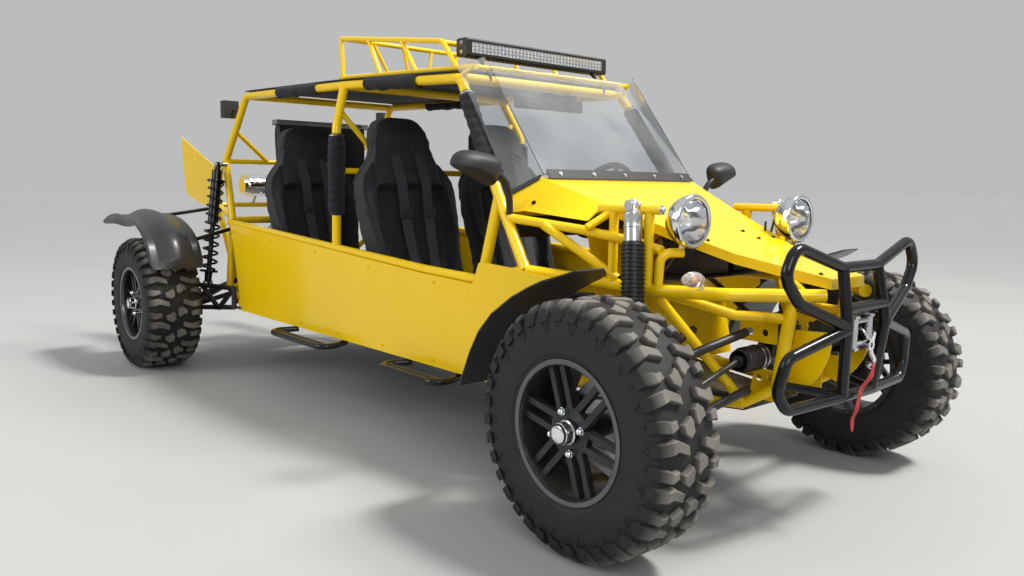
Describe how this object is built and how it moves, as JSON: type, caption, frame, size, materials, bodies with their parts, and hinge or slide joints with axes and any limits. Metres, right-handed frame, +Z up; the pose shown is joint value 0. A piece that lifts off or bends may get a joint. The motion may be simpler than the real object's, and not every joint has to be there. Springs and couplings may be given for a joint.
{
  "type": "dune buggy",
  "caption": "Long tube-frame dune buggy with bucket seats, soft top, roof rack, brush guard, free-rolling knobby wheels and coupled steering.",
  "frame": {"origin": "on the ground under the middle of the vehicle", "axes": "+X forward, +Y to the vehicle's left, +Z up"},
  "size_m": [4.2838, 1.97, 1.618],
  "materials": {
    "yellow_paint": "gloss yellow paint",
    "black_steel": "gloss black powder coat",
    "clear_glass": "clear polycarbonate",
    "white_lens": "clear lens over white diodes",
    "canvas": "woven black canvas",
    "seat_cloth": "black vinyl and cloth",
    "black_plastic": "matt black",
    "gloss_black": "gloss black",
    "chrome": "polished",
    "signal_lens": "clear lens over amber bulb",
    "strap_red": "red woven webbing",
    "coil_black": "black springs and boots",
    "engine_alloy": "cast alloy",
    "tyre_rubber": "black rubber, dusty",
    "wheel_black": "satin black"
  },
  "bodies": {
    "chassis": {"brush_guard": "black_steel", "canopy": "canvas", "cross_tubes": "yellow_paint", "dashboard": "black_plastic", "engine": "engine_alloy", "exhaust": "chrome", "fairlead": "chrome", "floor_pan": "black_steel", "front_arms": "black_steel", "front_coil_overs": "coil_black", "front_fenders": "black_plastic", "headlamp_bowls": "chrome", "headlamp_lenses": "clear_glass", "hood": "yellow_paint", "light_bar": "black_steel", "light_bar_lens": "white_lens", "mirrors": "black_plastic", "nose_frame_left": "yellow_paint", "nose_frame_right": "yellow_paint", "nose_plates": "yellow_paint", "pillar_sleeves": "canvas", "pull_strap": "strap_red", "rack_housing": "black_steel", "radiator": "black_steel", "rear_arms": "black_steel", "rear_coil_overs": "coil_black", "rear_cross_tubes": "yellow_paint", "rear_fenders": "gloss_black", "rear_frame_left": "yellow_paint", "rear_frame_right": "yellow_paint", "rear_lamps": "black_plastic", "rear_plates": "yellow_paint", "roof_rack": "yellow_paint", "seat_front_left": "seat_cloth", "seat_front_right": "seat_cloth", "seat_rear_left": "seat_cloth", "seat_rear_right": "seat_cloth", "side_frame_left": "yellow_paint", "side_frame_right": "yellow_paint", "side_panel_left": "yellow_paint", "side_panel_right": "yellow_paint", "side_steps": "black_steel", "steering_column": "black_steel", "turn_signals": "signal_lens", "winch": "black_steel", "winch_hook": "chrome", "windshield": "clear_glass"},
    "steering_wheel": {"steering_wheel": "black_plastic"},
    "tie_rods": {"tie_rods": "black_steel"},
    "knuckle_left": {"knuckle_left": "black_steel"},
    "knuckle_right": {"knuckle_right": "black_steel"},
    "wheel_front_left": {"wheel_front_left": "wheel_black", "tyre_front_left": "tyre_rubber"},
    "wheel_front_right": {"wheel_front_right": "wheel_black", "tyre_front_right": "tyre_rubber"},
    "wheel_rear_left": {"wheel_rear_left": "wheel_black", "tyre_rear_left": "tyre_rubber"},
    "wheel_rear_right": {"wheel_rear_right": "wheel_black", "tyre_rear_right": "tyre_rubber"}
  },
  "joints": [
    {"name": "steering", "type": "hinge", "parent": "chassis", "child": "steering_wheel", "pos_m": [0.841, 0.272, 0.915], "axis": [0.9063, 0, -0.4226], "range_deg": [-270, 270]},
    {"name": "rack_slide", "type": "slide", "parent": "chassis", "child": "tie_rods", "axis": [0, 1, 0], "range_m": [-0.0493, 0.0493]},
    {"name": "steer_left", "type": "hinge", "parent": "chassis", "child": "knuckle_left", "pos_m": [1.75, 0.595, 0.343], "axis": [0, 0, 1], "range_deg": [-28, 28]},
    {"name": "steer_right", "type": "hinge", "parent": "chassis", "child": "knuckle_right", "pos_m": [1.75, -0.595, 0.343], "axis": [0, 0, 1], "range_deg": [-28, 28]},
    {"name": "spin_front_left", "type": "hinge", "parent": "knuckle_left", "child": "wheel_front_left", "pos_m": [1.75, 0.708, 0.343], "axis": [0, 1, 0], "continuous": true},
    {"name": "spin_front_right", "type": "hinge", "parent": "knuckle_right", "child": "wheel_front_right", "pos_m": [1.75, -0.708, 0.343], "axis": [0, 1, 0], "continuous": true},
    {"name": "spin_rear_left", "type": "hinge", "parent": "chassis", "child": "wheel_rear_left", "pos_m": [-1.355, 0.845, 0.343], "axis": [0, 1, 0], "continuous": true},
    {"name": "spin_rear_right", "type": "hinge", "parent": "chassis", "child": "wheel_rear_right", "pos_m": [-1.355, -0.845, 0.343], "axis": [0, 1, 0], "continuous": true}
  ],
  "couplings": [
    {"joint": "rack_slide", "follows": "steering", "m_per_rad": -0.010462},
    {"joint": "steer_left", "follows": "steering", "ratio": -0.1037},
    {"joint": "steer_right", "follows": "steering", "ratio": -0.1037}
  ]
}
